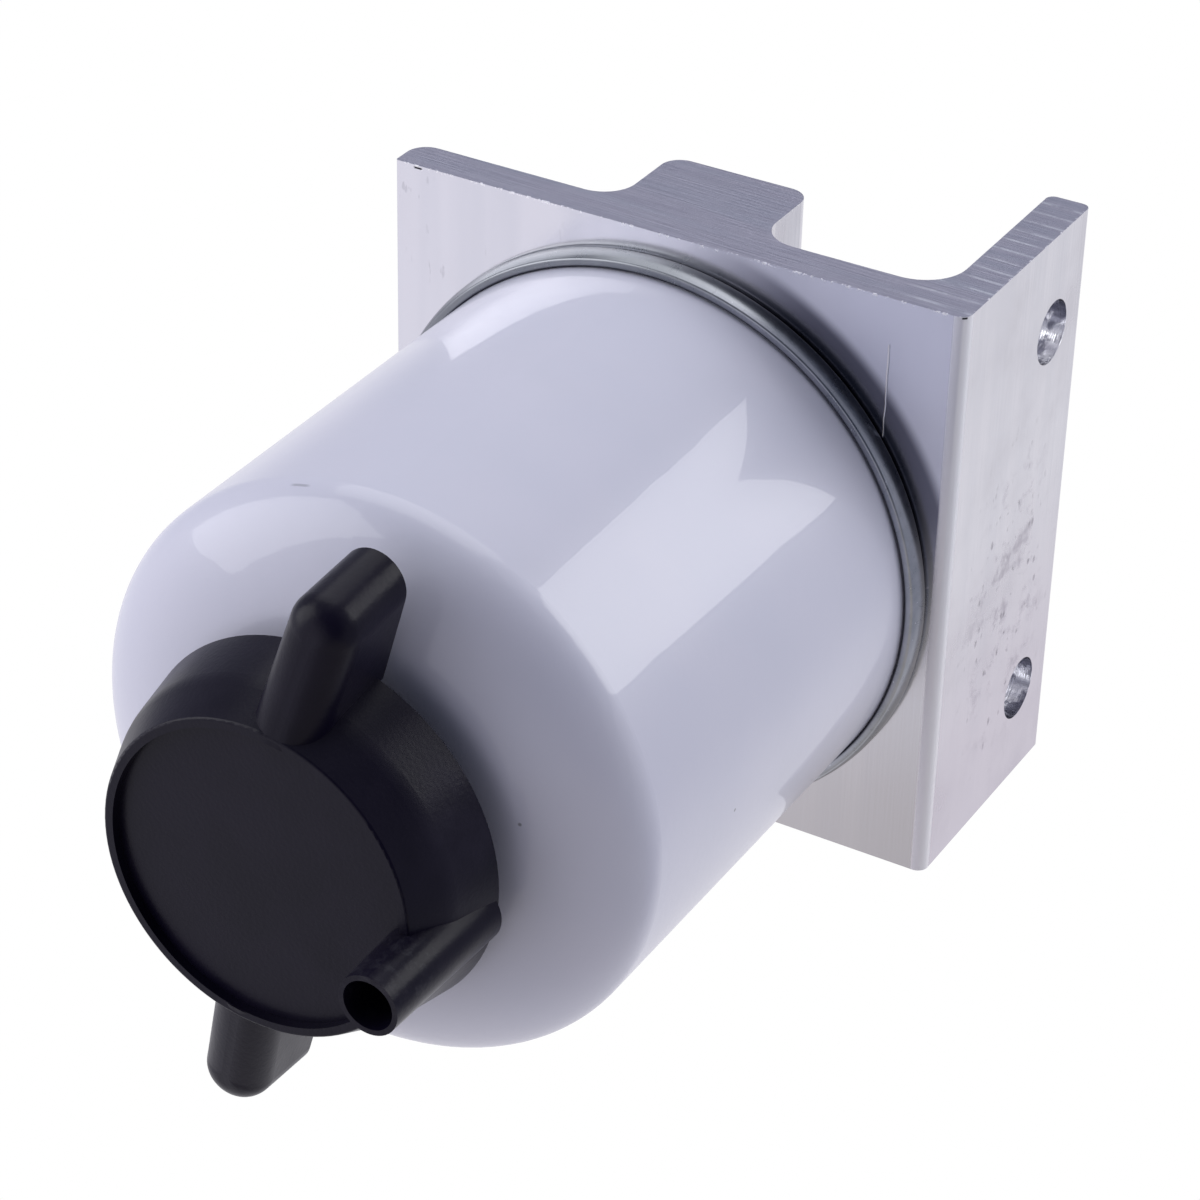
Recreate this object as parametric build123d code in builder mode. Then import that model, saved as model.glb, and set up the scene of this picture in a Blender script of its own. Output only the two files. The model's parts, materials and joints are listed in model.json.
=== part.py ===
# Spin-on fuel filter on an extruded mounting head, as used on small diesel engines.
# Units are millimetres. The row frame: origin midway between the two bolt holes, on the
# flange's outer face. +Y leaves that face, +Z is up in use, and the can hangs down.

import os
from math import cos, radians, sin

from build123d import *

os.makedirs("parts", exist_ok=True)

# Clearances and fits
thread_clearance = 0.05
seal_clearance = 0.05
land_clearance = 0.10
stud_seal_clearance = 0.10

# Mounting head, an aluminium extrusion sawn to length
head_length = 86.4
plate_thickness = 6.0
plate_reach = 41.3
axis_to_flange = 44.4
axis_off_centre = 1.85
flange_thickness = 6.1
flange_height = 38.2
boss_width = 21.4
boss_height = 21.2
boss_off_axis = 0.5
boss_root_radius = 5.0
boss_corner_radius = 3.0
flange_root_radius = 6.5
plate_edge_radius = 3.0
flange_edge_radius = 1.2
front_edge_radius = 1.6
plate_rear_burr_radius = 0.4

# Bolt holes in the flange
bolt_spacing = 57.0
bolt_hole_radius = 4.6
bolt_line_height = 28.5

# Ports in the boss, drilled from above and opening out of the sealing face
port_thread_radius = 6.25
port_mouth_radius = 7.4
port_mouth_depth = 0.9
outlet_port_depth = 9.0
inlet_port_depth = 11.0
inlet_drill_radius = 5.0
inlet_off_axis = 22.0

# Hollow stud that the filter screws on to
stud_radius = 8.0
stud_bore_radius = 4.5
stud_in_head = 12.2
stud_below_face = 14.0
stud_chamfer = 1.0

# Filter can
can_radius = 40.0
can_wall = 0.8
can_straight_end = 67.8
can_bottom = 78.5
can_flat_radius = 16.0
can_hem = 0.7

# Seaming lid
lid_sheet = 0.8
seam_top = 0.45
seam_bottom = 3.4
seam_corner_radius = 1.1
lid_lip_top = 1.5

# Head gasket
gasket_inset = 4.2
gasket_width = 6.0
gasket_height = 3.7
gasket_lip_width = 2.2
gasket_lip_height = 0.9

# Base plate, threaded for the stud
base_thickness = 4.0
hub_radius = 12.0
hub_length = 4.5
inlet_hole_radius = 3.5
inlet_hole_circle = 20.5
inlet_hole_count = 8

# Filter element
seal_outer_radius = 12.5
seal_lip_depth = 1.4
seal_foot_depth = 1.0
cap_hole_radius = 10.5
cap_sheet = 0.8
cap_radius = 36.0
cap_rim_depth = 4.0
element_length = 46.8
tube_radius = 14.0
tube_sheet = 0.8
tube_hole_radius = 2.0
tube_hole_rows = 5
tube_holes_across = 3
pleat_count = 40
pleat_inner_gap = 0.4
pleat_outer_gap = 0.4
media_thickness = 0.9

# Spring under the element
spring_sheet = 0.8
spring_top_radius = 27.0
spring_top_land = 3.0
spring_window_count = 4
spring_window_angle = 58.0

# Drain bush, welded into the can's bottom
bush_radius = 12.0
bush_flange_radius = 15.3
bush_flange_thickness = 1.6
bush_top = 70.0
bush_bottom = 86.0
seat_thickness = 2.0
seat_hole_radius = 4.5
seal_bore_radius = 8.5
seal_bore_end = 82.0
drain_thread_radius = 9.0

# Drain knob with its stem, wings and spout, moulded in one piece
seat_seal_radius = 6.0
seat_seal_thickness = 1.2
stem_tip_radius = 5.5
stem_tip_end = 77.4
side_hole_radius = 1.3
side_hole_depth = 75.3
stem_channel_radius = 2.2
o_ring_section = 1.8
o_ring_groove_start = 78.4
o_ring_groove_width = 2.4
knob_front = 95.7
knob_rear = 82.0
knob_front_radius = 21.85
knob_cone_height = 5.7
knob_shoulder_out = 2.5
knob_shoulder_radius = 8.0
knob_radius = 25.8
knob_wall = 2.4
knob_recess_depth = 1.3
knob_lip_width = 1.2
knob_lip_edge_radius = 0.4
knob_face_thickness = 2.5
wing_angle = 15.1
wing_offset = 2.2
wing_rear = 80.2
wing_rear_reach = 41.3
wing_rear_thickness = 8.8
wing_root_front = 96.0
wing_front_reach = 39.3
wing_front_thickness = 9.4
wing_tip_front = 92.4
wing_edge_radius = 4.0
spout_angle = 100.0
spout_from_axis = 22.2
spout_end_radius = 4.1
spout_root_radius = 4.6
spout_bore_radius = 3.37
spout_end = 104.5
spout_bore_end = 87.0
spout_root = 82.4
gallery_depth = 89.0
gallery_radius = 1.6
gallery_rib_width = 7.0
gallery_rib_depth = 5.0

# Places that follow from the sizes above
face_z = -bolt_line_height
gasket_outer_radius = can_radius - can_wall - gasket_inset
gasket_inner_radius = gasket_outer_radius - gasket_width
seam_radius = can_radius + can_hem + lid_sheet
axis_x = -axis_off_centre
axis_y = -axis_to_flange
can_axis = Axis((axis_x, axis_y, 0), (0, 0, 1))
round_plane = Plane(origin=(axis_x, axis_y, 0), x_dir=(1, 0, 0), z_dir=(0, -1, 0))


def down(depth):
    """Height in the row frame of a depth below the head's sealing face."""
    return face_z - depth


def level(depth):
    """Level plane on the can's axis, at a depth below the sealing face."""
    return Plane(origin=(axis_x, axis_y, down(depth)), z_dir=(0, 0, 1))


def outline(*points):
    """Closed face from points of radius and depth below the sealing face."""
    with BuildLine() as edge:
        Polyline(*[(r, down(d)) for r, d in points], close=True)
    make_face(edge.edges())


# Mounting head
plate_top = face_z + plate_thickness
boss_top = face_z + boss_height
flange_top = face_z + flange_height
flange_inner = -flange_thickness
plate_edge = axis_y - plate_reach
boss_middle = axis_y + boss_off_axis
boss_left = boss_middle - boss_width / 2
boss_right = boss_middle + boss_width / 2

with BuildPart() as mounting_head:
    with BuildSketch(Plane.YZ.offset(-head_length / 2)) as head_profile:
        with BuildLine():
            Polyline(
                (plate_edge, face_z), (0, face_z), (0, flange_top), (flange_inner, flange_top),
                (flange_inner, plate_top), (boss_right, plate_top), (boss_right, boss_top),
                (boss_left, boss_top), (boss_left, plate_top), (plate_edge, plate_top), close=True,
            )
        make_face()
        for corner_y, corner_z, corner_radius in (
            (plate_edge, plate_top, plate_edge_radius),
            (plate_edge, face_z, plate_rear_burr_radius),
            (0, face_z, front_edge_radius),
            (0, flange_top, flange_edge_radius),
            (flange_inner, flange_top, flange_edge_radius),
            (flange_inner, plate_top, flange_root_radius),
            (boss_right, plate_top, boss_root_radius),
            (boss_left, plate_top, boss_root_radius),
            (boss_right, boss_top, boss_corner_radius),
            (boss_left, boss_top, boss_corner_radius),
        ):
            fillet(vertices().sort_by_distance((corner_y, corner_z, 0))[0], corner_radius)
    extrude(amount=head_length)
    # Bolt holes
    with BuildSketch(Plane.XZ):
        with GridLocations(bolt_spacing, 0, 2, 1):
            Circle(bolt_hole_radius)
    extrude(amount=flange_thickness, both=True, mode=Mode.SUBTRACT)
    # Outlet port above the stud's threaded hole
    with BuildSketch(level(0)):
        Circle(stud_radius)
    extrude(amount=boss_height - outlet_port_depth, mode=Mode.SUBTRACT)
    with BuildSketch(Plane(origin=(axis_x, axis_y, boss_top), z_dir=(0, 0, 1))):
        Circle(port_thread_radius)
    extrude(amount=-outlet_port_depth, mode=Mode.SUBTRACT)
    # Inlet port, drilled on to the sealing face
    with BuildSketch(Plane(origin=(axis_x + inlet_off_axis, axis_y, boss_top), z_dir=(0, 0, 1))):
        Circle(port_thread_radius)
    extrude(amount=-inlet_port_depth, mode=Mode.SUBTRACT)
    with BuildSketch(Plane(origin=(axis_x + inlet_off_axis, axis_y, face_z), z_dir=(0, 0, 1))):
        Circle(inlet_drill_radius)
    extrude(amount=boss_height, mode=Mode.SUBTRACT)
    # Spot faces at the mouths of the two ports
    with BuildSketch(Plane(origin=(axis_x, axis_y, boss_top), z_dir=(0, 0, 1))):
        with Locations((0, 0), (inlet_off_axis, 0)):
            Circle(port_mouth_radius)
    extrude(amount=-port_mouth_depth, taper=0, mode=Mode.SUBTRACT)
mounting_head.part.label = "mounting_head"
export_step(mounting_head.part, "parts/mounting_head.step")

# Hollow stud, screwed into the head
stud_top = face_z + boss_height - outlet_port_depth
with BuildPart() as filter_stud:
    with BuildSketch(round_plane):
        with BuildLine():
            Polyline(
                (stud_bore_radius, stud_top), (stud_radius, stud_top),
                (stud_radius, down(stud_below_face) + stud_chamfer),
                (stud_radius - stud_chamfer, down(stud_below_face)),
                (stud_bore_radius, down(stud_below_face)), close=True,
            )
        make_face()
    revolve(axis=can_axis)
filter_stud.part.label = "filter_stud"
export_step(filter_stud.part, "parts/filter_stud.step")

# Can, a drawn steel cup with a hem at its rim
bush_hole_radius = bush_radius
rim_top = seam_top + lid_sheet
hem_bottom = seam_bottom - lid_sheet
with BuildPart() as canister_shell:
    with BuildSketch(round_plane):
        with BuildLine():
            Line((bush_hole_radius, down(can_bottom)), (can_flat_radius, down(can_bottom)))
            EllipticalCenterArc(
                (can_flat_radius, down(can_straight_end)), can_radius - can_flat_radius,
                can_bottom - can_straight_end, start_angle=270, arc_size=90,
            )
            Polyline(
                (can_radius, down(can_straight_end)), (can_radius, down(hem_bottom)),
                (can_radius + can_hem, down(hem_bottom)), (can_radius + can_hem, down(rim_top)),
                (can_radius - can_wall, down(rim_top)), (can_radius - can_wall, down(can_straight_end)),
            )
            EllipticalCenterArc(
                (can_flat_radius, down(can_straight_end)), can_radius - can_wall - can_flat_radius,
                can_bottom - can_wall - can_straight_end, start_angle=270, arc_size=90,
            )
            Polyline(
                (can_flat_radius, down(can_bottom - can_wall)),
                (bush_hole_radius, down(can_bottom - can_wall)), (bush_hole_radius, down(can_bottom)),
            )
        make_face()
    revolve(axis=can_axis)
canister_shell.part.label = "canister_shell"
export_step(canister_shell.part, "parts/canister_shell.step")

# Seaming lid, folded round the can's hem, with the gasket's groove
groove_floor = gasket_height
lid_hem_inner = can_radius + can_hem
with BuildPart() as seaming_lid:
    with BuildSketch(round_plane):
        outline(
            (gasket_inner_radius - lid_sheet, lid_lip_top), (gasket_inner_radius, lid_lip_top),
            (gasket_inner_radius, groove_floor), (gasket_outer_radius, groove_floor),
            (gasket_outer_radius, seam_top), (seam_radius, seam_top), (seam_radius, seam_bottom),
            (can_radius, seam_bottom), (can_radius, hem_bottom), (lid_hem_inner, hem_bottom),
            (lid_hem_inner, rim_top), (gasket_outer_radius + lid_sheet, rim_top),
            (gasket_outer_radius + lid_sheet, groove_floor + lid_sheet),
            (gasket_inner_radius - lid_sheet, groove_floor + lid_sheet),
        )
        fillet(vertices().sort_by_distance((seam_radius, down(seam_top), 0))[0], seam_corner_radius)
        fillet(vertices().sort_by_distance((seam_radius, down(seam_bottom), 0))[0], seam_corner_radius)
    revolve(axis=can_axis)
seaming_lid.part.label = "seaming_lid"
export_step(seaming_lid.part, "parts/seaming_lid.step")

# Head gasket, square cut with a raised sealing lip
gasket_middle = (gasket_inner_radius + gasket_outer_radius) / 2
with BuildPart() as head_gasket:
    with BuildSketch(round_plane):
        outline(
            (gasket_inner_radius, gasket_height), (gasket_outer_radius, gasket_height),
            (gasket_outer_radius, gasket_lip_height), (gasket_middle + gasket_lip_width, gasket_lip_height),
            (gasket_middle + gasket_lip_width / 2, 0), (gasket_middle - gasket_lip_width / 2, 0),
            (gasket_middle - gasket_lip_width, gasket_lip_height), (gasket_inner_radius, gasket_lip_height),
        )
    revolve(axis=can_axis)
head_gasket.part.label = "head_gasket"
export_step(head_gasket.part, "parts/head_gasket.step")

# Base plate with its threaded hub and ring of inlet holes
base_top = groove_floor + lid_sheet
base_bottom = base_top + base_thickness
hub_end = base_bottom + hub_length
with BuildPart() as base_plate:
    with BuildSketch(level(base_bottom)):
        Circle(can_radius - can_wall)
    extrude(amount=base_thickness)
    with BuildSketch(level(hub_end)):
        Circle(hub_radius)
    extrude(amount=hub_length)
    with BuildSketch(level(hub_end)):
        Circle(stud_radius + thread_clearance)
    extrude(amount=hub_length + base_thickness, mode=Mode.SUBTRACT)
    with BuildSketch(level(base_bottom)):
        with PolarLocations(inlet_hole_circle, inlet_hole_count):
            Circle(inlet_hole_radius)
    extrude(amount=base_thickness, mode=Mode.SUBTRACT)
base_plate.part.label = "base_plate"
export_step(base_plate.part, "parts/base_plate.step")

# Rubber seal between the hub and the element
cap_top = hub_end + seal_lip_depth
with BuildPart() as stud_seal:
    with BuildSketch(round_plane):
        seal_inner = stud_radius + stud_seal_clearance
        outline(
            (seal_inner, hub_end), (seal_outer_radius, hub_end), (seal_outer_radius, cap_top),
            (cap_hole_radius, cap_top), (cap_hole_radius, cap_top + cap_sheet),
            (seal_outer_radius, cap_top + cap_sheet),
            (seal_outer_radius, cap_top + cap_sheet + seal_foot_depth),
            (seal_inner, cap_top + cap_sheet + seal_foot_depth),
        )
    revolve(axis=can_axis)
stud_seal.part.label = "stud_seal"
export_step(stud_seal.part, "parts/stud_seal.step")

# Element caps, pressed sheet with a rim turned over the pleats
media_top = cap_top + cap_sheet
media_bottom = media_top + element_length
with BuildPart() as upper_end_cap:
    with BuildSketch(round_plane):
        outline(
            (cap_hole_radius, cap_top), (cap_radius, cap_top), (cap_radius, cap_top + cap_rim_depth),
            (cap_radius - cap_sheet, cap_top + cap_rim_depth), (cap_radius - cap_sheet, media_top),
            (cap_hole_radius, media_top),
        )
    revolve(axis=can_axis)
upper_end_cap.part.label = "upper_end_cap"
export_step(upper_end_cap.part, "parts/upper_end_cap.step")

cap_bottom = media_bottom + cap_sheet
with BuildPart() as lower_end_cap:
    with BuildSketch(round_plane):
        outline(
            (0, cap_bottom), (cap_radius, cap_bottom), (cap_radius, cap_bottom - cap_rim_depth),
            (cap_radius - cap_sheet, cap_bottom - cap_rim_depth), (cap_radius - cap_sheet, media_bottom),
            (0, media_bottom),
        )
    revolve(axis=can_axis)
lower_end_cap.part.label = "lower_end_cap"
export_step(lower_end_cap.part, "parts/lower_end_cap.step")

# Perforated centre tube
tube_row_pitch = element_length / (tube_hole_rows + 1)
with BuildPart() as centre_tube:
    with BuildSketch(level(media_bottom)):
        Circle(tube_radius)
        Circle(tube_radius - tube_sheet, mode=Mode.SUBTRACT)
    extrude(amount=element_length)
    for turn in range(tube_holes_across):
        across = Plane(
            origin=(axis_x, axis_y, down(media_bottom)),
            x_dir=(0, 0, 1),
            z_dir=(cos(radians(turn * 180 / tube_holes_across)), sin(radians(turn * 180 / tube_holes_across)), 0),
        )
        with BuildSketch(across):
            for row in range(tube_hole_rows):
                with Locations(((row + 1) * tube_row_pitch, 0)):
                    Circle(tube_hole_radius)
        extrude(amount=tube_radius + tube_sheet, both=True, mode=Mode.SUBTRACT)
centre_tube.part.label = "centre_tube"
export_step(centre_tube.part, "parts/centre_tube.step")

# Pleated paper, one closed zigzag band
pleat_inner = tube_radius + pleat_inner_gap
pleat_outer = cap_radius - cap_sheet - pleat_outer_gap
pleat_step = 360 / pleat_count
outer_fold = []
inner_fold = []
for fold in range(pleat_count):
    outer_fold += [(pleat_outer, fold * pleat_step), (pleat_inner + media_thickness, (fold + 0.5) * pleat_step)]
    inner_fold += [(pleat_outer - 3 * media_thickness, fold * pleat_step), (pleat_inner, (fold + 0.5) * pleat_step)]
with BuildPart() as pleated_media:
    with BuildSketch(level(media_bottom)):
        with BuildLine():
            Polyline(*[(r * cos(radians(a)), r * sin(radians(a))) for r, a in outer_fold], close=True)
        make_face()
        with BuildLine():
            Polyline(*[(r * cos(radians(a)), r * sin(radians(a))) for r, a in inner_fold], close=True)
        make_face(mode=Mode.SUBTRACT)
    extrude(amount=element_length)
pleated_media.part.label = "pleated_media"
export_step(pleated_media.part, "parts/pleated_media.step")

# Sheet spring that lifts the element against the hub
flange_rest = can_bottom - can_wall - bush_flange_thickness
with BuildPart() as element_spring:
    with BuildSketch(round_plane):
        outline(
            (bush_radius + spring_sheet / 2, flange_rest), (bush_flange_radius, flange_rest),
            (spring_top_radius - spring_top_land, cap_bottom + spring_sheet),
            (spring_top_radius, cap_bottom + spring_sheet), (spring_top_radius, cap_bottom),
            (spring_top_radius - spring_top_land - spring_sheet, cap_bottom),
            (bush_flange_radius - spring_sheet, flange_rest - spring_sheet),
            (bush_radius + spring_sheet / 2, flange_rest - spring_sheet),
        )
    revolve(axis=can_axis)
    # Windows that leave four springy legs
    window_top = down(cap_bottom + 2 * spring_sheet)
    window_bottom = down(flange_rest - 2 * spring_sheet)
    with BuildSketch(Plane(origin=(axis_x, axis_y, window_bottom), z_dir=(0, 0, 1))):
        for window in range(spring_window_count):
            middle = window * 360 / spring_window_count
            with BuildLine():
                reach = spring_top_radius * 2
                Polyline(
                    (0, 0),
                    (reach * cos(radians(middle - spring_window_angle / 2)),
                     reach * sin(radians(middle - spring_window_angle / 2))),
                    (reach * cos(radians(middle + spring_window_angle / 2)),
                     reach * sin(radians(middle + spring_window_angle / 2))),
                    close=True,
                )
            make_face()
    extrude(amount=window_top - window_bottom, mode=Mode.SUBTRACT)
element_spring.part.label = "element_spring"
export_step(element_spring.part, "parts/element_spring.step")

# Drain bush with its valve seat, seal bore and thread
seat_depth = bush_top + seat_thickness
bush_shelf = can_bottom - can_wall
with BuildPart() as drain_bush:
    with BuildSketch(round_plane):
        outline(
            (seat_hole_radius, bush_top), (bush_radius, bush_top), (bush_radius, flange_rest),
            (bush_flange_radius, flange_rest), (bush_flange_radius, bush_shelf), (bush_radius, bush_shelf),
            (bush_radius, bush_bottom), (drain_thread_radius + thread_clearance, bush_bottom),
            (drain_thread_radius + thread_clearance, seal_bore_end), (seal_bore_radius, seal_bore_end),
            (seal_bore_radius, seat_depth), (seat_hole_radius, seat_depth),
        )
    revolve(axis=can_axis)
drain_bush.part.label = "drain_bush"
export_step(drain_bush.part, "parts/drain_bush.step")

# Seal disc on the tip of the stem, closed against the seat
stem_top = seat_depth + seat_seal_thickness
with BuildPart() as seat_seal:
    with BuildSketch(level(stem_top)):
        Circle(seat_seal_radius)
    extrude(amount=seat_seal_thickness)
seat_seal.part.label = "seat_seal"
export_step(seat_seal.part, "parts/seat_seal.step")

# Sealing ring in the stem's groove
o_ring_middle = seal_bore_radius - seal_clearance - o_ring_section / 2
groove_radius = o_ring_middle - o_ring_section / 2 - seal_clearance
with BuildPart() as drain_o_ring:
    with BuildSketch(round_plane):
        with Locations((o_ring_middle, down(o_ring_groove_start + o_ring_groove_width / 2))):
            Circle(o_ring_section / 2)
    revolve(axis=can_axis)
drain_o_ring.part.label = "drain_o_ring"
export_step(drain_o_ring.part, "parts/drain_o_ring.step")

# Drain knob
land_radius = seal_bore_radius - land_clearance
face_front = knob_front - knob_recess_depth
face_rear = face_front - knob_face_thickness
lip_inner_radius = knob_front_radius - knob_lip_width
shoulder_depth = knob_front - knob_cone_height
shoulder_radius = knob_front_radius + knob_shoulder_out
spout_x = spout_from_axis * cos(radians(spout_angle))
spout_y = spout_from_axis * sin(radians(spout_angle))
with BuildPart() as drain_knob:
    # Wings, thicker in front, flat at the rear and rounded over in front
    for turn in (wing_angle, wing_angle + 180):
        for depth, reach, thickness in (
            (wing_root_front, wing_front_reach, wing_front_thickness),
            (wing_rear, wing_rear_reach, wing_rear_thickness),
        ):
            wing_plane = Plane(
                origin=(axis_x, axis_y, down(depth)),
                x_dir=(cos(radians(turn)), sin(radians(turn)), 0), z_dir=(0, 0, 1),
            )
            with BuildSketch(wing_plane):
                with Locations((reach / 2, -wing_offset)):
                    SlotOverall(reach, thickness)
        loft()
    with BuildSketch(round_plane):
        outline(
            (knob_front_radius - knob_wall, wing_root_front), (wing_rear_reach + 1, wing_tip_front),
            (wing_rear_reach + 1, wing_root_front + 1), (0, wing_root_front + 1), (0, wing_root_front),
        )
    revolve(axis=can_axis, mode=Mode.SUBTRACT)
    # Room for the drum, which meets the wings in the middle of its wall
    with BuildSketch(round_plane):
        outline(
            (0, wing_root_front), (knob_front_radius - knob_wall / 2, wing_root_front),
            (shoulder_radius - knob_wall / 2, shoulder_depth), (knob_radius - knob_wall / 2, knob_rear),
            (knob_radius - knob_wall / 2, wing_rear), (0, wing_rear),
        )
    revolve(axis=can_axis, mode=Mode.SUBTRACT)
    fillet(
        edges().filter_by(
            lambda e: e.center().Z < down(wing_tip_front) + 0.5
            and Vertex(axis_x, axis_y, e.center().Z).distance_to(Vertex(*e.center())) > knob_front_radius + 0.5
        ),
        wing_edge_radius,
    )
    # Drum with its coned front, recessed face and open back
    with BuildSketch(round_plane):
        outline(
            (0, face_front), (lip_inner_radius, face_front), (lip_inner_radius, knob_front),
            (knob_front_radius, knob_front), (shoulder_radius, shoulder_depth), (knob_radius, knob_rear),
            (knob_radius - knob_wall, knob_rear), (shoulder_radius - knob_wall, shoulder_depth),
            (knob_front_radius - knob_wall, face_rear), (0, face_rear),
        )
        fillet(
            vertices().sort_by_distance((shoulder_radius, down(shoulder_depth), 0))[0], knob_shoulder_radius
        )
        fillet(
            vertices().sort_by_distance((knob_front_radius, down(knob_front), 0))[0], knob_lip_edge_radius
        )
    revolve(axis=can_axis)
    # Rib inside the drum that carries the drain gallery
    rib_plane = Plane(
        origin=(axis_x, axis_y, down(face_rear)),
        x_dir=(cos(radians(spout_angle)), sin(radians(spout_angle)), 0),
        z_dir=(0, 0, 1),
    )
    with BuildSketch(rib_plane):
        Rectangle(spout_from_axis, gallery_rib_width, align=(Align.MIN, Align.CENTER))
    extrude(amount=gallery_rib_depth)
    # Spout with its draft
    with BuildSketch(level(spout_root)):
        with Locations((spout_x, spout_y)):
            Circle(spout_root_radius)
    with BuildSketch(level(spout_end)):
        with Locations((spout_x, spout_y)):
            Circle(spout_end_radius)
    loft()
    # Stem
    with BuildSketch(round_plane):
        outline(
            (0, stem_top), (stem_tip_radius, stem_top), (stem_tip_radius, stem_tip_end),
            (land_radius, stem_tip_end), (land_radius, o_ring_groove_start),
            (groove_radius, o_ring_groove_start), (groove_radius, o_ring_groove_start + o_ring_groove_width),
            (land_radius, o_ring_groove_start + o_ring_groove_width), (land_radius, seal_bore_end),
            (drain_thread_radius, seal_bore_end), (drain_thread_radius, face_rear), (0, face_rear),
        )
    revolve(axis=can_axis)
    # Drain passages
    with BuildSketch(level(gallery_depth)):
        Circle(stem_channel_radius)
    extrude(amount=gallery_depth - stem_top, mode=Mode.SUBTRACT)
    with BuildSketch(Plane(origin=(axis_x, axis_y, down(side_hole_depth)), z_dir=(1, 0, 0))):
        Circle(side_hole_radius)
    extrude(amount=stem_tip_radius * 2, both=True, mode=Mode.SUBTRACT)
    with BuildSketch(level(spout_end)):
        with Locations((spout_x, spout_y)):
            Circle(spout_bore_radius)
    extrude(amount=spout_end - spout_bore_end, mode=Mode.SUBTRACT)
    with BuildSketch(Plane(origin=(axis_x, axis_y, down(gallery_depth)), z_dir=(spout_x, spout_y, 0))):
        Circle(gallery_radius)
    extrude(amount=spout_from_axis, mode=Mode.SUBTRACT)
drain_knob.part.label = "drain_knob"
export_step(drain_knob.part, "parts/drain_knob.step")
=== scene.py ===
# Looks of the spin-on fuel filter on its mounting head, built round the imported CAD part.
import json
import math

import bpy
from mathutils import Euler, Matrix, Vector


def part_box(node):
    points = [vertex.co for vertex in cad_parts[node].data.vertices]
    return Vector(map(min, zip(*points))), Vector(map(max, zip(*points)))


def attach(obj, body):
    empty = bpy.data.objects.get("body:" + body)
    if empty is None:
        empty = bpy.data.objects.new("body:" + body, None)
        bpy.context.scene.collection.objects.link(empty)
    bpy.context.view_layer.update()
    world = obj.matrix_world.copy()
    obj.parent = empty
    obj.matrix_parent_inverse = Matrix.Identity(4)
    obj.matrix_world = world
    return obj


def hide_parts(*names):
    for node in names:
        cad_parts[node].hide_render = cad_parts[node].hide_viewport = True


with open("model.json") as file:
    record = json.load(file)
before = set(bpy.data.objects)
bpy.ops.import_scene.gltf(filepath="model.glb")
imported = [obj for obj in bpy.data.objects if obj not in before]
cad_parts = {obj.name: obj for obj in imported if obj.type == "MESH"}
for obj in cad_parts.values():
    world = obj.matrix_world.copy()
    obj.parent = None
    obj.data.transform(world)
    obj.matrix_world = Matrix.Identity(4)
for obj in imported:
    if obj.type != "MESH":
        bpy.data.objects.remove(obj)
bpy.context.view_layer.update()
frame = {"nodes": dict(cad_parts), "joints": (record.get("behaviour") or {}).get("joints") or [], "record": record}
nodes = frame["nodes"]


def named(entries, name):
    """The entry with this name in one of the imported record's lists."""
    return next(entry for entry in entries if entry["name"] == name)


# Places taken from the frame, in metres; the can hangs below the sealing face, towards -Z
head_low, head_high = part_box("mounting_head")
can_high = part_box("canister_shell")[1]
spin_place = named(frame["joints"], "filter_spin")["pos_m"]
bolts = named(frame["record"]["mounts"], "flange_bolts")["dims"]
SEALING_FACE = head_low.z
FLANGE_FACE = head_high.y
HEAD_END = head_high.x
AXIS = Vector((spin_place[0], spin_place[1], SEALING_FACE))
AXIS_LEVEL = (AXIS.x, AXIS.y, 0.0)
BOLT_HOLE_X = bolts["spacing_x_mm"] / 2000
BOLT_HOLE_RADIUS = bolts["hole_r_mm"] / 1000
PART_MIDDLE = AXIS - Vector((0.0, 0.0, 0.045))


def rgb(r, g, b):
    return (r, g, b, 1.0)


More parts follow.
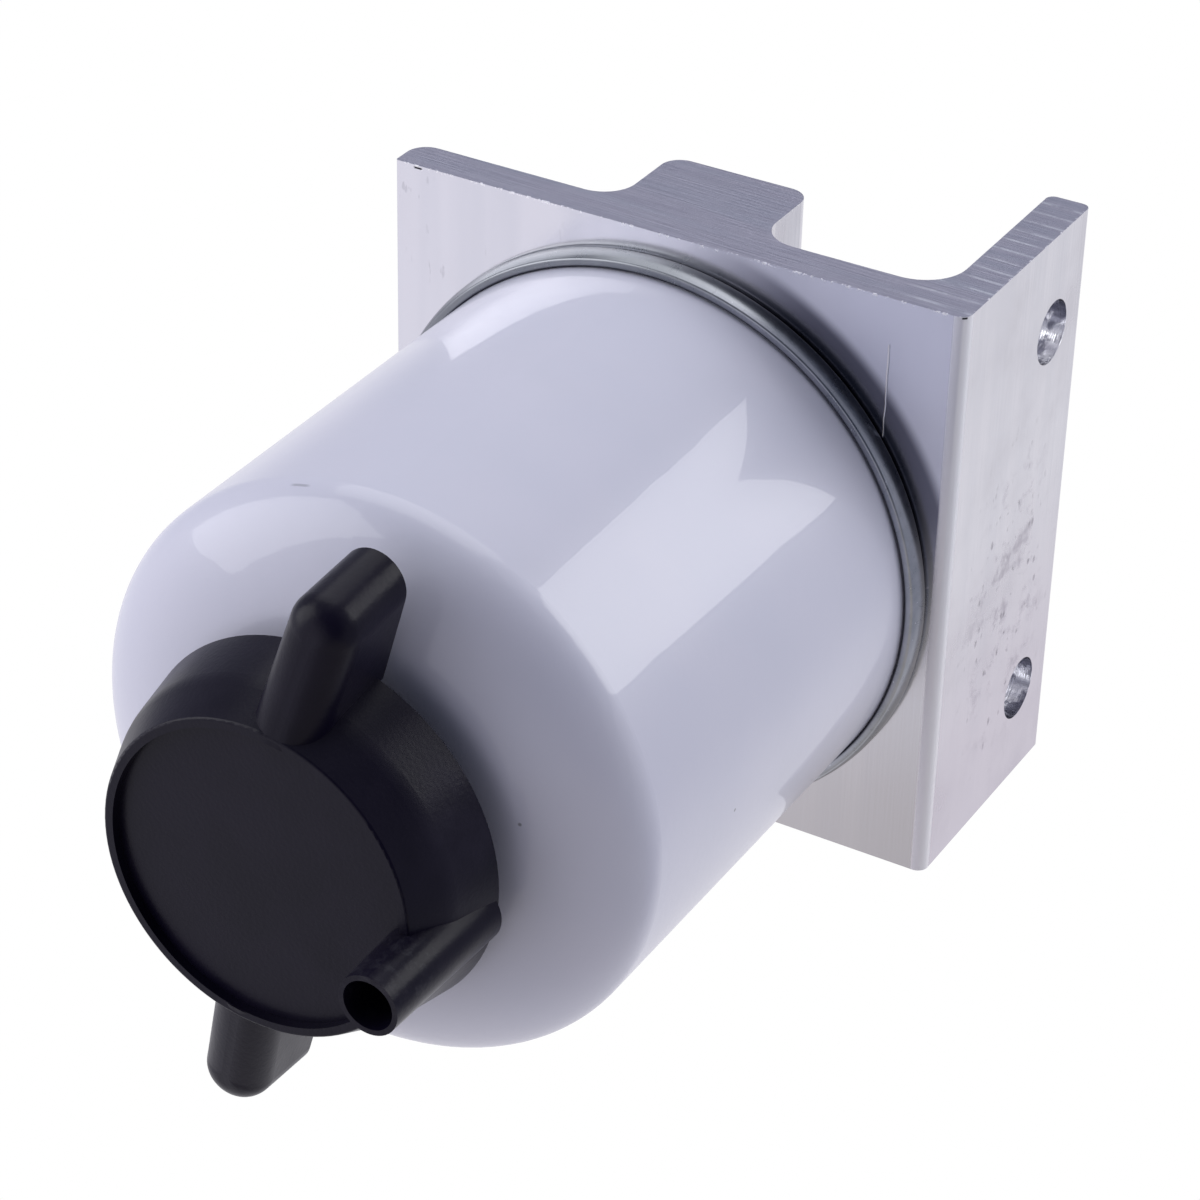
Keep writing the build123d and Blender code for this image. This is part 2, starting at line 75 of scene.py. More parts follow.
class Nodes:
    """Builds a node tree. A value is a number, a tuple, a vector or another node's output."""

    def __init__(self, tree):
        self.tree = tree

    def node(self, kind, **settings):
        made = self.tree.nodes.new(kind)
        for name, value in settings.items():
            setattr(made, name, value)
        return made

    def put(self, socket, value):
        if isinstance(value, bpy.types.NodeSocket):
            self.tree.links.new(value, socket)
        else:
            socket.default_value = value

    def fill(self, kind, values, **settings):
        """A node with its inputs filled, by name or by number."""
        made = self.node(kind, **settings)
        for key, value in values.items():
            self.put(made.inputs[key], value)
        return made

    def math(self, operation, *values):
        return self.fill("ShaderNodeMath", dict(enumerate(values)), operation=operation).outputs[0]

    def ramp(self, value, start, stop, low=0.0, high=1.0, smooth=True):
        """Goes from low to high as the value goes from start to stop."""
        limits = {"Value": value, "From Min": start, "From Max": stop, "To Min": low, "To Max": high}
        kind = "SMOOTHSTEP" if smooth else "LINEAR"
        return self.fill("ShaderNodeMapRange", limits, interpolation_type=kind).outputs["Result"]

    def mix(self, factor, a, b):
        """From colour a to colour b."""
        return self.fill("ShaderNodeMix", {0: factor, 6: a, 7: b}, data_type="RGBA").outputs[2]

    def blend(self, factor, a, b):
        """From number a to number b."""
        return self.fill("ShaderNodeMix", {0: factor, 2: a, 3: b}, data_type="FLOAT").outputs[0]

    def layers(self, tone, *over):
        """A tone with other tones laid over it in turn, each through its mask."""
        for mask, top in over:
            tone = self.mix(mask, tone, top)
        return tone

    def product(self, first, *rest):
        for value in rest:
            first = self.math("MULTIPLY", first, value)
        return first

    def most(self, first, *rest):
        for value in rest:
            first = self.math("MAXIMUM", first, value)
        return first

    def total(self, a, b):
        return self.math("ADD", a, b)

    def without(self, value, start=1.0):
        """The start less the value."""
        return self.math("SUBTRACT", start, value)

    def size(self, value):
        return self.math("ABSOLUTE", value)

    def near(self, value, middle, half, soft):
        """1 within half of the middle, down to 0 over soft."""
        return self.ramp(self.size(self.without(middle, value)), half + soft, half)

    def spot(self, place, middle, radius, soft):
        """1 within a radius of the middle, down to 0 over soft."""
        away = self.fill("ShaderNodeVectorMath", {0: place, 1: middle}, operation="DISTANCE")
        return self.ramp(away.outputs["Value"], radius + soft, radius)

    def split(self, vector):
        return self.fill("ShaderNodeSeparateXYZ", {0: vector}).outputs

    def join(self, x, y, z):
        return self.fill("ShaderNodeCombineXYZ", {0: x, 1: y, 2: z}).outputs[0]

    def noise(self, place, scale, detail=3.0, rough=0.5):
        look = {"Vector": place, "Scale": scale, "Detail": detail, "Roughness": rough}
        return self.fill("ShaderNodeTexNoise", look, noise_dimensions="3D").outputs["Fac"]

    def lines(self, value, scale, detail=3.0, rough=0.5):
        """Noise that changes along one value only."""
        look = {"W": value, "Scale": scale, "Detail": detail, "Roughness": rough}
        return self.fill("ShaderNodeTexNoise", look, noise_dimensions="1D").outputs["Fac"]

    def cells(self, place, scale):
        """The distance from the middle of the nearest cell."""
        look = {"Vector": place, "Scale": scale}
        return self.fill("ShaderNodeTexVoronoi", look, feature="F1").outputs["Distance"]

    def bump(self, height, strength, distance):
        shape = {"Height": height, "Strength": strength, "Distance": distance}
        return self.fill("ShaderNodeBump", shape).outputs[0]


class Material(Nodes):
    """A material laid out in the object's own coordinates, which for a CAD node are the frame's."""

    INPUTS = {
        "color": "Base Color", "rough": "Roughness", "metal": "Metallic", "normal": "Normal",
        "spec": "Specular IOR Level", "coat": "Coat Weight", "coat_rough": "Coat Roughness",
        "coat_normal": "Coat Normal",
    }

    def __init__(self, name):
        self.data = bpy.data.materials.new(name)
        self.data.use_nodes = True
        super().__init__(self.data.node_tree)
        coordinates = self.node("ShaderNodeTexCoord").outputs
        self.place = coordinates["Object"]
        self.normal = coordinates["Normal"]
        self.x, self.y, self.z = self.split(self.place)

    def finish(self, **values):
        shader = self.tree.nodes["Principled BSDF"]
        for name, value in values.items():
            self.put(shader.inputs[self.INPUTS[name]], value)
        return self.data


# The can's enamel, and the specks and the scuff seen on it
ENAMEL_DARK = rgb(0.650, 0.655, 0.768)
ENAMEL_LIGHT = rgb(0.668, 0.668, 0.778)
ENAMEL_GRIME = rgb(0.50, 0.52, 0.56)
SPECK_BLACK = rgb(0.06, 0.06, 0.07)
SPECK_RADIUS = 0.00012
SPECK_FADE = 0.00022
CAN_SCUFF = (0.03655, -0.0544, -0.0981)
CAN_SPECKS = (
    (0.00495, -0.0186, -0.1059),
    (-0.01855, -0.0081, -0.0486),
    (-0.00465, -0.0045, -0.0776),
    (-0.00285, -0.0229, -0.1067),
)


def can_paint():
    """Glossy pale enamel with a little orange peel, a few specks and one scuff."""
    m = Material("can_paint")
    peel = m.noise(m.place, scale=700, detail=2.0)
    wide = m.noise(m.place, scale=60, detail=2.0)
    grime = m.noise(m.place, scale=25, detail=4.0, rough=0.6)
    dots = m.most(*(m.spot(m.place, speck, SPECK_RADIUS, SPECK_FADE) for speck in CAN_SPECKS))
    scuff = m.product(
        m.near(m.z, CAN_SCUFF[2], half=0.00010, soft=0.00015),
        m.spot(m.place, CAN_SCUFF, radius=0.0007, soft=0.0010),
    )
    fine_dots = m.product(
        m.ramp(m.cells(m.place, scale=230), 0.06, 0.03),
        m.ramp(m.noise(m.place, scale=41, detail=1.0), 0.66, 0.72),
    )
    enamel = m.layers(
        m.mix(m.ramp(wide, 0.3, 0.7), ENAMEL_DARK, ENAMEL_LIGHT),
        (m.ramp(grime, 0.45, 0.75, high=0.10), ENAMEL_GRIME),
        (m.most(m.product(dots, 0.6), m.product(scuff, 0.35), fine_dots), SPECK_BLACK),
    )
    return m.finish(
        color=enamel, rough=0.35, spec=0.4, normal=m.bump(peel, strength=0.05, distance=0.0004),
        coat=0.55, coat_rough=m.ramp(grime, 0.3, 0.8, low=0.015, high=0.05),
        coat_normal=m.bump(wide, strength=0.05, distance=0.002),
    )


# The seam's plating, with painted shade on one side and in the groove beside the paint
PLATING_DARK = rgb(0.38, 0.40, 0.43)
PLATING_LIGHT = rgb(0.46, 0.475, 0.51)
PLATING_PIT = rgb(0.20, 0.20, 0.22)
PLATING_GLINT = rgb(0.85, 0.86, 0.90)
PLATING_PAINTED_SHADE = rgb(0.165, 0.175, 0.19)
GROOVE_PAINTED_SHADE = rgb(0.02, 0.02, 0.035)
SEAM_SHADE_PLACE = (0.0362, -0.0621, -0.0305)
SEAM_SHADE_REACH = 0.018
GROOVE_RADIUS = 0.04010
GROOVE_TOP = SEALING_FACE - 0.0025


def steel():
    """Satin plated sheet with faint rolling marks round the can."""
    m = Material("bare_steel")
    mottled = m.noise(m.place, scale=330, detail=4.0, rough=0.65)
    rolled = m.lines(m.z, scale=2600, rough=0.6)
    pits = m.ramp(m.noise(m.place, scale=1100, rough=0.6), 0.62, 0.74)
    glints = m.ramp(m.noise(m.place, scale=1500, detail=2.0), 0.70, 0.76)
    # Painted shade in the groove at the bead's foot, beside the can's wall
    groove_shade = m.product(
        m.spot(m.join(m.x, m.y, 0.0), AXIS_LEVEL, GROOVE_RADIUS, soft=0.00035),
        m.ramp(m.z, GROOVE_TOP, GROOVE_TOP - 0.0002), 0.92,
    )
    plating = m.layers(
        m.mix(m.ramp(mottled, 0.3, 0.7), PLATING_DARK, PLATING_LIGHT),
        (m.product(pits, 0.35), PLATING_PIT),
        (m.product(glints, 0.6), PLATING_GLINT),
        # Painted shade: a darker patch on one side of the seam
        (m.product(m.spot(m.place, SEAM_SHADE_PLACE, SEAM_SHADE_REACH, soft=SEAM_SHADE_REACH), 0.72), PLATING_PAINTED_SHADE),
        (groove_shade, GROOVE_PAINTED_SHADE),
    )
    return m.finish(
        color=plating, metal=1.0, rough=m.ramp(mottled, 0.3, 0.7, low=0.26, high=0.32, smooth=False),
        normal=m.bump(m.blend(0.5, rolled, mottled), strength=0.06, distance=0.0003),
    )


# Tones of the head's drawn faces
DRAWN_DARK = rgb(0.73, 0.73, 0.765)
DRAWN_LIGHT = rgb(0.775, 0.77, 0.80)
DRAWN_CLOUD = rgb(0.68, 0.66, 0.68)
FLANGE_PAINTED_SHADE = rgb(0.60, 0.545, 0.61)
PLATE_PAINTED_SHADE = rgb(0.60, 0.58, 0.58)
PLATE_PAINTED_HIGHLIGHT = rgb(0.95, 0.95, 1.0)
STAIN_GREY = rgb(0.45, 0.40, 0.45)
SPECK_GREY = rgb(0.13, 0.11, 0.14)
DRAW_MARK_GREY = rgb(0.40, 0.40, 0.43)
PAINTED_REFLECTION_GREY = rgb(0.13, 0.13, 0.165)
SCRATCH_WHITE = rgb(0.92, 0.92, 0.95)
BURR_GLINT_WHITE = rgb(1.0, 1.0, 1.0)

# Tones of the sawn ends, the bolt holes, and the painted highlight on the dulled corner, which fades from its +X
# end to its -X end
CUT_DARK = rgb(0.32, 0.32, 0.40)
CUT_LIGHT = rgb(0.43, 0.42, 0.50)
CUT_BAND = rgb(0.35, 0.37, 0.45)
FEED_MARK = rgb(0.70, 0.72, 0.78)
CUT_RIM_GLINT = rgb(0.95, 0.95, 1.0)
CHIP_BLACK = rgb(0.02, 0.02, 0.03)
BORE_BRIGHT = rgb(0.97, 0.97, 1.0)
BORE_TORN = rgb(0.30, 0.30, 0.36)
CORNER_OUT_PAINTED_LIGHT = (rgb(0.90, 0.90, 0.94), rgb(0.97, 0.95, 0.97))
CORNER_IN_PAINTED_LIGHT = (rgb(0.72, 0.72, 0.79), rgb(0.98, 0.95, 0.98))

# Where the head's tones fade along X, the painted shade of the flange and the sealing face among them, and the
# draw marks and the saw's feed marks along Y, in metres
FLANGE_SHADE_FADE = (0.012, -0.036)
PLATE_SHADE_FADE = (-0.010, -0.040)
CORNER_OUT_FADE = (0.020, -0.030)
CORNER_IN_FADE = (0.034, 0.004)
DRAW_MARK_FADE = (-0.052, -0.070)
FEED_MARK_FADE = (-0.0115, -0.0065)

# Where the head's marks lie, in metres; the stains' field is an oval, narrower by STAIN_STRETCH in Z
SAW_STEP = 0.0031
SAW_SLOPE = 0.035
STAIN_STRETCH = 0.55
STAIN_PLACE = (-0.0102 * STAIN_STRETCH, 0.0, -0.0080)
PAINTED_HIGHLIGHT_PLACE = (0.038, -0.010, 0.0)
PAINTED_REFLECTION_MIDDLE = (0.0264, -0.0107, 0.0)
PAINTED_REFLECTION_RADIUS = 0.0452
SCRATCH_X = 0.0297
SCRATCH_Y = -0.01035
SCRATCH_HALF = 0.0064
NICK_Y = -0.0821
CORNER_ROUND = 0.0016
CORNER_FADE = 0.0004
CORNER_SPLIT = FLANGE_FACE - 0.0009

# How squarely a face has to look along an axis to count as lying across it
SQUARE_ON = (0.80, 0.97)


class HeadMetal(Material):
    """Drawn bar, streaked along X on its faces and scored by the saw on its ends."""

    def __init__(self):
        super().__init__("head_metal")
        self.nx, self.ny, self.nz = self.split(self.normal)
        self.sawn = self.ramp(self.size(self.nx), *SQUARE_ON)
        self.drawn = self.without(self.sawn)
        self.front = self.ramp(self.product(self.nz, -1.0), *SQUARE_ON)
        self.side = self.ramp(self.ny, *SQUARE_ON)
        self.level = self.join(self.x, self.y, 0.0)
        self.clouds = self.noise(self.place, scale=55, detail=4.0, rough=0.6)
        self.cut_line = self.total(self.z, self.product(self.y, SAW_SLOPE))
        self.mark_flange()
        self.mark_plate()
        self.mark_ends()
        self.mark_corner()
        self.mark_bores()

    def along_bar(self, share):
        """The place with only a share of its X, so a pattern on it is drawn out along the bar."""
        return self.join(self.product(self.x, share), self.y, self.z)

    def along_cut(self, share):
        """The place on a sawn end with only a share of its Y, so a pattern follows the saw."""
        return self.join(0.0, self.product(self.y, share), self.cut_line)

    def mark_flange(self):
        """Specks and stains in one field of the flange."""
        squeezed = self.join(self.product(self.x, STAIN_STRETCH), 0.0, self.z)
        field = self.spot(squeezed, STAIN_PLACE, radius=0.004, soft=0.0140)
        specks = self.ramp(self.cells(self.along_bar(0.62), scale=620), 0.34, 0.10)
        groups = self.ramp(self.noise(self.place, scale=330, detail=2.0), 0.50, 0.60)
        blots = self.ramp(self.noise(self.place, scale=170, detail=5.0, rough=0.75), 0.50, 0.66)
        self.speck = self.product(specks, groups, field, self.side)
        self.stain = self.product(blots, field, self.side)

    def mark_plate(self):
        """Draw marks toward the free edge, one long scratch, a nick, a chipped corner and a painted dark
        reflection.
        """
        marks = self.ramp(self.noise(self.along_bar(0.30), scale=900, detail=2.0), 0.66, 0.74)
        free_edge = self.ramp(self.y, *DRAW_MARK_FADE)
        self.draw_mark = self.product(marks, free_edge, self.ramp(self.clouds, 0.42, 0.52), self.front)
        wander = self.total(self.y, self.product(self.lines(self.x, scale=300, detail=2.0), 0.0003))
        self.scratch = self.product(
            self.near(wander, SCRATCH_Y, half=0.00007, soft=0.00007),
            self.near(self.x, SCRATCH_X, half=SCRATCH_HALF, soft=0.0006), self.front,
        )
        self.nick = self.product(
            self.near(self.y, NICK_Y, half=0.00045, soft=0.0003),
            self.near(self.x, HEAD_END - 0.0004, half=0.00008, soft=0.00012), self.front,
        )
        self.chip = self.product(
            self.near(self.total(self.y, self.z), SEALING_FACE - 0.0001, half=0.0004, soft=0.0003),
            self.near(self.x, HEAD_END - 0.0002, half=0.0001, soft=0.0001),
        )
        # A painted reflection: this dark arc stands in for the dark reflection that the photograph shows outside
        # the can's rim
        self.painted_reflection = self.product(
            self.spot(self.level, AXIS_LEVEL, PAINTED_REFLECTION_RADIUS, soft=0.0022),
            self.spot(self.level, PAINTED_REFLECTION_MIDDLE, radius=0.014, soft=0.022), self.front, 0.92,
        )

    def mark_ends(self):
        """The saw's scores, and painted glints on the burr and rims where it left the bar."""
        self.score = self.noise(self.along_cut(0.02), scale=2400, detail=5.0, rough=0.75)
        glint = self.ramp(self.noise(self.place, scale=1700, detail=2.0, rough=0.6), 0.55, 0.63)
        edge = self.ramp(self.x, HEAD_END - 0.0004, HEAD_END - 0.0001)
        rims = self.most(
            self.near(self.z, SEALING_FACE, half=0.0001, soft=0.0002),
            self.near(self.y, FLANGE_FACE, half=0.0001, soft=0.0002),
        )
        # Painted glints: white sparkles on the burr along the +X edge and on the rims of the sawn ends
        self.burr_glint = self.product(edge, glint, self.drawn)
        self.rim_glint = self.product(rims, glint, self.sawn)

    def mark_corner(self):
        """The corner between the sealing face and the flange."""
        below = SEALING_FACE + CORNER_ROUND
        beside = FLANGE_FACE - CORNER_ROUND
        self.corner = self.product(
            self.ramp(self.z, below + CORNER_FADE, below),
            self.ramp(self.y, beside - CORNER_FADE, beside), self.drawn,
        )

    def mark_bores(self):
        """The walls of the two bolt holes."""
        reach = BOLT_HOLE_RADIUS + 0.0001
        self.bore = self.product(
            self.ramp(self.size(self.ny), 0.35, 0.15),
            self.without(self.ramp(self.size(self.z), reach, reach + 0.0002)),
            self.near(self.size(self.x), BOLT_HOLE_X, half=reach, soft=0.0002),
        )

    def drawn_tone(self):
        bands = self.noise(self.along_bar(0.05), scale=170, detail=2.0)
        painted_highlight = self.spot(self.level, PAINTED_HIGHLIGHT_PLACE, radius=0.004, soft=0.016)
        return self.layers(
            self.mix(self.ramp(bands, 0.35, 0.65), DRAWN_DARK, DRAWN_LIGHT),
            (self.ramp(self.clouds, 0.45, 0.75, high=0.35), DRAWN_CLOUD),
            # Painted shade on the flange and the sealing face, darker toward the -X end
            (self.product(self.ramp(self.x, *FLANGE_SHADE_FADE), self.side, 0.7), FLANGE_PAINTED_SHADE),
            (self.product(self.ramp(self.x, *PLATE_SHADE_FADE), self.front, 0.55), PLATE_PAINTED_SHADE),
            # Painted highlight: a bright patch on the sealing face
            (self.product(painted_highlight, self.front, 0.7), PLATE_PAINTED_HIGHLIGHT),
            (self.product(self.stain, 0.42), STAIN_GREY),
            (self.product(self.speck, 0.70), SPECK_GREY),
            (self.product(self.draw_mark, 0.35), DRAW_MARK_GREY),
            (self.painted_reflection, PAINTED_REFLECTION_GREY),
            (self.scratch, SCRATCH_WHITE),
            (self.burr_glint, BURR_GLINT_WHITE),
        )

    def cut_tone(self):
        """Bands along the cut, the saw's feed marks across the flange, and the painted glints on the rims."""
        bands = self.noise(self.along_cut(0.04), scale=420, detail=2.0)
        uneven = self.product(self.noise(self.place, scale=60, detail=1.0), 0.5)
        feed = self.total(self.math("DIVIDE", self.cut_line, SAW_STEP), uneven)
        broken = self.ramp(self.noise(self.place, scale=260, rough=0.6), 0.30, 0.56)
        feed_marks = self.product(
            self.near(self.math("FRACT", feed), 0.5, half=0.03, soft=0.10),
            broken, self.ramp(self.y, *FEED_MARK_FADE), 0.55,
        )
        return self.layers(
            self.mix(self.ramp(self.score, 0.3, 0.7), CUT_DARK, CUT_LIGHT),
            (self.ramp(bands, 0.4, 0.7, high=0.5), CUT_BAND),
            (feed_marks, FEED_MARK),
            (self.rim_glint, CUT_RIM_GLINT),
        )

    def bore_tone(self):
        torn = self.ramp(self.noise(self.place, scale=280, rough=0.6), 0.47, 0.57)
        return self.mix(torn, BORE_BRIGHT, BORE_TORN)

    def corner_painted_light(self):
        """Painted highlight on the dulled corner: a pale tone, lighter toward its -X end where it makes up for the
        shading, and darker inside toward its +X end.
        """
        inner = self.mix(self.ramp(self.x, *CORNER_IN_FADE), *CORNER_IN_PAINTED_LIGHT)
        outer = self.mix(self.ramp(self.x, *CORNER_OUT_FADE), *CORNER_OUT_PAINTED_LIGHT)
        return self.mix(self.ramp(self.y, CORNER_SPLIT, CORNER_SPLIT + CORNER_FADE), inner, outer)

    def relief(self):
        """Streaks along the bar, rings in the bores and scores on the ends, less what is cut into them."""
        streaks = self.noise(self.along_bar(0.03), scale=1900, rough=0.65)
        streaks = self.product(streaks, self.blend(self.front, 0.30, 0.05))
        rings = self.product(self.lines(self.y, scale=3800, detail=2.0), 0.4)
        height = self.blend(self.sawn, self.blend(self.bore, streaks, rings), self.score)
        cut = self.product(self.most(self.scratch, self.nick), 1.2)
        sunken = self.most(cut, self.product(self.speck, 0.3))
        return self.bump(self.without(sunken, height), strength=0.35, distance=0.0003)

    def roughness(self):
        plain = self.ramp(self.clouds, 0.3, 0.8, low=0.17, high=0.30)
        polished = self.ramp(self.clouds, 0.3, 0.8, low=0.16, high=0.20)
        rough = self.blend(self.sawn, self.blend(self.front, plain, polished), 0.42)
        rough = self.blend(self.most(self.product(self.stain, 0.6), self.burr_glint), rough, 0.5)
        rough = self.blend(self.bore, rough, 0.20)
        return self.blend(self.corner, rough, 0.5)


def aluminium():
    m = HeadMetal()
    tone = m.layers(
        m.mix(m.sawn, m.drawn_tone(), m.cut_tone()),
        (m.most(m.nick, m.chip), CHIP_BLACK),
        (m.bore, m.bore_tone()),
        (m.product(m.corner, m.without(m.chip)), m.corner_painted_light()),
    )
    dulled = m.most(m.product(m.speck, 0.6), m.product(m.corner, 0.9))
    return m.finish(color=tone, metal=m.without(dulled), rough=m.roughness(), normal=m.relief())


# The rubber, the paper and the stud
RUBBER_BLACK = rgb(0.02, 0.02, 0.022)
PAPER_DARK = rgb(0.62, 0.50, 0.28)
PAPER_LIGHT = rgb(0.70, 0.58, 0.34)
STUD_TONE = rgb(0.55, 0.52, 0.42)
STUD_PITCH = 0.0015


def rubber():
    m = Material("seal_rubber")
    grain = m.noise(m.place, scale=1500)
    return m.finish(color=RUBBER_BLACK, rough=0.6, normal=m.bump(grain, strength=0.1, distance=0.0002))


def paper():
    m = Material("filter_paper")
    grain = m.noise(m.place, scale=1200, detail=4.0)
    tone = m.mix(m.ramp(grain, 0.3, 0.7), PAPER_DARK, PAPER_LIGHT)
    return m.finish(color=tone, rough=0.9, normal=m.bump(grain, strength=0.2, distance=0.0003))


def stud_steel():
    """Passivated steel, with the thread as a wave along the stud."""
    m = Material("stud_metal")
    thread = m.math("SINE", m.product(m.z, 2 * math.pi / STUD_PITCH))
    relief = m.bump(thread, strength=0.8, distance=0.0006)
    return m.finish(color=STUD_TONE, metal=1.0, rough=0.35, normal=relief)


# The knob's plastic, where it is scuffed, and where a sheen is painted
PLASTIC_DARK = rgb(0.0045, 0.0034, 0.0115)
PLASTIC_LIGHT = rgb(0.0072, 0.0056, 0.0155)
CHALK_SPOUT = rgb(0.035, 0.034, 0.045)
DRUM_PAINTED_SHEEN = rgb(0.036, 0.031, 0.056)
SPOUT_SCUFF = (-0.0030, -0.0225, -0.1290)
DRUM_SHEEN_PLACE = (0.0100, -0.0215, -0.1130)


def plastic():
    """Near-black moulded plastic with a chalky scuff along the spout and a painted sheen on the drum beside it."""
    m = Material("knob_plastic")
    grain = m.noise(m.place, scale=1800)
    broad = m.noise(m.place, scale=120)
    chalk = m.ramp(m.noise(m.place, scale=420, detail=5.0, rough=0.75), 0.46, 0.66)
    sheen_mottle = m.ramp(m.noise(m.place, scale=150, detail=5.0, rough=0.6), 0.25, 0.75)
    tone = m.layers(
        m.mix(m.ramp(broad, 0.3, 0.7), PLASTIC_DARK, PLASTIC_LIGHT),
        (m.product(m.spot(m.place, SPOUT_SCUFF, radius=0.004, soft=0.004), chalk, 0.5), CHALK_SPOUT),
        # Painted sheen: a soft lighter patch on the drum
        (m.product(m.spot(m.place, DRUM_SHEEN_PLACE, radius=0.001, soft=0.009), sheen_mottle, 0.45), DRUM_PAINTED_SHEEN),
    )
    return m.finish(
        color=tone, rough=m.ramp(broad, 0.3, 0.7, low=0.28, high=0.36, smooth=False), spec=0.17,
        normal=m.bump(grain, strength=0.12, distance=0.0002),
    )


# Each CAD node takes the look of its material slot
looks = {
    "head_metal": aluminium(), "stud_metal": stud_steel(), "can_paint": can_paint(),
    "bare_steel": steel(), "seal_rubber": rubber(), "filter_paper": paper(),
    "knob_plastic": plastic(),
}
for part in frame["record"]["subparts"]:
    mesh = nodes[part["node"]].data
    mesh.materials.clear()
    mesh.materials.append(looks[part["material_slot"]])


# The lid again, with the fuller rolled bead that the photograph shows, folded round the can's hem.
# Its section is in mm: distance from the can's axis, depth below the sealing face.
HEM_RADIUS = (can_high.x - AXIS.x) * 1000
HEM_TOP = (SEALING_FACE - can_high.z) * 1000
HEM_FOOT = 2.6
LID_SHEET = 0.8
LID_FLAT = 41.0
GROOVE_OUTSIDE = 35.0
GROOVE_INSIDE = 29.0
GROOVE_LIP = 1.5
GROOVE_FLOOR = 3.7
BEAD_INSIDE = 40.0
BEAD_OUTSIDE = 41.75
BEAD_TOP = 0.15
BEAD_FOOT = 3.4
TOP_ROUND = 0.6
FOOT_ROUND = 0.4
INNER_ROUND = 0.3

# The bead's side bulges: its radius, the depth of its widest place, and the degrees where the foot begins
SIDE_BULGE = 4.3
SIDE_MIDDLE = 1.2
SIDE_END = 332.5

# Steps round the ring, the degrees from which an edge is sharp, and the bead's shift off centre in metres
BEAD_STEPS = 300
SHARP_FROM = 35
BEAD_SHIFT = (0.00018, 0.00018, 0.0)


def arc(r, depth, radius, start, stop, steps=8):
    """Points round a corner of a section; degrees from +r towards the sealing face."""
    turns = [math.radians(start + (stop - start) * i / steps) for i in range(steps + 1)]
    return [(r + radius * math.cos(turn), depth - radius * math.sin(turn)) for turn in turns]


def bead_section():
    """From the bead's inner foot round its outside, inwards over the groove and back under the sheet."""
    side_r = BEAD_OUTSIDE - SIDE_BULGE
    foot_r = side_r + (SIDE_BULGE - FOOT_ROUND) * math.cos(math.radians(SIDE_END))
    bead = arc(BEAD_INSIDE + INNER_ROUND, BEAD_FOOT - INNER_ROUND, INNER_ROUND, 180, 270, steps=4)
    bead += arc(foot_r, BEAD_FOOT - FOOT_ROUND, FOOT_ROUND, 270, SIDE_END, steps=6)
    bead += arc(side_r, SIDE_MIDDLE, SIDE_BULGE, SIDE_END, 360)
    bead += arc(BEAD_OUTSIDE - TOP_ROUND, BEAD_TOP + TOP_ROUND, TOP_ROUND, 0, 90)
    over = [
        (LID_FLAT, BEAD_TOP), (LID_FLAT, HEM_TOP - LID_SHEET), (GROOVE_OUTSIDE, HEM_TOP - LID_SHEET),
        (GROOVE_OUTSIDE, GROOVE_FLOOR), (GROOVE_INSIDE, GROOVE_FLOOR), (GROOVE_INSIDE, GROOVE_LIP),
    ]
    under = [
        (GROOVE_INSIDE - LID_SHEET, GROOVE_LIP), (GROOVE_INSIDE - LID_SHEET, GROOVE_FLOOR + LID_SHEET),
        (GROOVE_OUTSIDE + LID_SHEET, GROOVE_FLOOR + LID_SHEET), (GROOVE_OUTSIDE + LID_SHEET, HEM_TOP),
        (HEM_RADIUS, HEM_TOP), (HEM_RADIUS, HEM_FOOT), (BEAD_INSIDE, HEM_FOOT),
    ]
    return bead + over + under


def lathe(name, section, steps):
    """A ring round the can's axis from a closed section."""
    count = len(section)
    verts = []
    faces = []
    for i in range(steps):
        turn = 2 * math.pi * i / steps
        following = (i + 1) % steps
        for j, (r, depth) in enumerate(section):
            verts.append(AXIS + Vector((r * math.cos(turn), r * math.sin(turn), -depth)) / 1000)
            beside = (j + 1) % count
            near_pair = (i * count + j, following * count + j)
            far_pair = (following * count + beside, i * count + beside)
            faces.append(near_pair + far_pair)
    ring_mesh = bpy.data.meshes.new(name)
    ring_mesh.from_pydata(verts, [], faces)
    ring_mesh.shade_smooth()
    ring_mesh.set_sharp_from_angle(angle=math.radians(SHARP_FROM))
    ring = bpy.data.objects.new(name, ring_mesh)
    bpy.context.scene.collection.objects.link(ring)
    return ring


bead = lathe("seaming_lid_rolled", bead_section(), BEAD_STEPS)
bead.location = BEAD_SHIFT
bead.data.materials.append(looks["bare_steel"])
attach(bead, "filter")
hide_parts("seaming_lid")


# The camera's turn in degrees about X, Y and Z, and its place from where the can's axis meets the
# sealing face, in metres to its own right, up and back
CAMERA_TURN = (148.508, -30.250, 88.609)
CAMERA_PLACE = (-0.00705, -0.00985, 0.52512)
CAMERA_LENS = 114.8

turned = Euler([math.radians(angle) for angle in CAMERA_TURN]).to_matrix()
right, up, back = turned.col
camera_data = bpy.data.cameras.new("camera")
camera_data.sensor_width = 36.0
camera_data.lens = CAMERA_LENS
camera_data.clip_start = 0.01
camera_data.clip_end = 20.0
camera = bpy.data.objects.new("camera", camera_data)
bpy.context.scene.collection.objects.link(camera)
camera.matrix_world = Matrix.Translation(AXIS + turned @ Vector(CAMERA_PLACE)) @ turned.to_4x4()
bpy.context.scene.camera = camera


def softbox(name, place, width, height, watts, glossy=True):
    """A lamp aimed at the part's middle, and placed from it in metres to the camera's right, up and back."""
    data = bpy.data.lights.new(name, "AREA")
    data.shape = "RECTANGLE"
    data.size = width
    data.size_y = height
    data.energy = watts
    lamp = bpy.data.objects.new(name, data)
    bpy.context.scene.collection.objects.link(lamp)
    lamp.location = PART_MIDDLE + turned @ Vector(place)
    lamp.rotation_mode = "QUATERNION"
    lamp.rotation_quaternion = (PART_MIDDLE - lamp.location).to_track_quat("-Z", "Y")
    lamp.visible_glossy = glossy


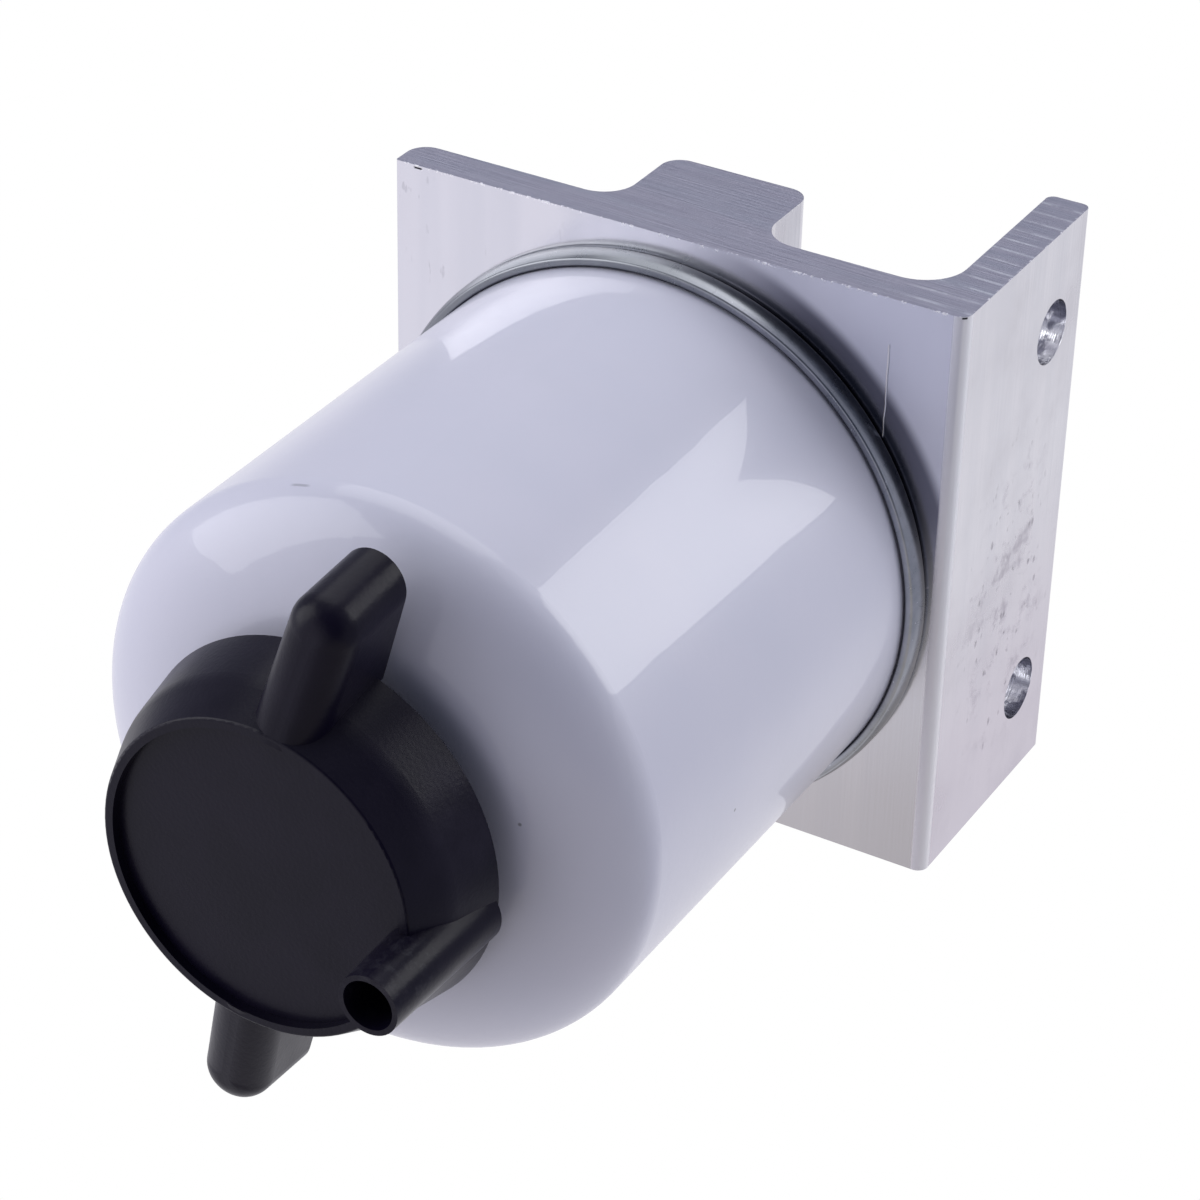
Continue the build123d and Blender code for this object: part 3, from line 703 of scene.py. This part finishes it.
# Two boxes beside the can, set where their mirror images lie on its enamel, and one above
softbox("box_right", (0.493, 0.310, 0.011), width=0.34, height=0.44, watts=1.4)
softbox("box_left", (-0.54, 0.235, 0.17), width=0.60, height=0.43, watts=1.6)
softbox("box_top", (0.0, 0.85, 0.10), width=0.8, height=0.6, watts=2.0)

# A weak fill that shines on the paint but is not mirrored in it
softbox("fill_right", (0.55, -0.12, 0.20), width=0.40, height=0.40, watts=0.45, glossy=False)


def toward(azimuth, height):
    """A direction from the part: degrees round from the camera, then up."""
    turn = math.radians(azimuth)
    rise = math.radians(height)
    level = right * math.sin(turn) + back * math.cos(turn)
    return level * math.cos(rise) + up * math.sin(rise)


# The room that the part mirrors. Each line: where it lies, the cosines it fades between, its tone.
PAPER_WHITE = rgb(1.0, 1.0, 1.0)
ROOM_GREY = rgb(0.37, 0.38, 0.455)
ROOM = (
    (toward(0, -5), 0.57, 0.87, rgb(0.040, 0.050, 0.085)),
    (toward(103, 40), 0.92, 0.99, rgb(0.07, 0.07, 0.09)),
    (toward(-85, -30), 0.30, 0.90, rgb(0.88, 0.87, 0.97)),
    (toward(0, -88), 0.62, 0.80, rgb(0.50, 0.475, 0.47)),
    (toward(180, -25), 0.40, 0.75, rgb(0.86, 0.85, 0.90)),
)


def studio():
    """White paper behind the part for the camera, and the room for everything that mirrors it."""
    world = bpy.data.worlds.new("studio")
    world.use_nodes = True
    w = Nodes(world.node_tree)
    w.tree.nodes.clear()
    looking = w.node("ShaderNodeTexCoord").outputs["Generated"]
    tone = ROOM_GREY
    for direction, start, stop, patch in ROOM:
        dot = w.fill("ShaderNodeVectorMath", {0: looking, 1: direction}, operation="DOT_PRODUCT")
        tone = w.mix(w.ramp(dot.outputs["Value"], start, stop), tone, patch)
    mirrored = w.fill("ShaderNodeBackground", {"Color": tone, "Strength": 1.0}).outputs[0]
    behind = w.fill("ShaderNodeBackground", {"Color": PAPER_WHITE, "Strength": 1.0}).outputs[0]
    to_camera = w.node("ShaderNodeLightPath").outputs["Is Camera Ray"]
    surface = w.fill("ShaderNodeMixShader", {0: to_camera, 1: mirrored, 2: behind}).outputs[0]
    w.fill("ShaderNodeOutputWorld", {"Surface": surface})
    return world


bpy.context.scene.world = studio()
bpy.context.scene.view_settings.view_transform = "Standard"
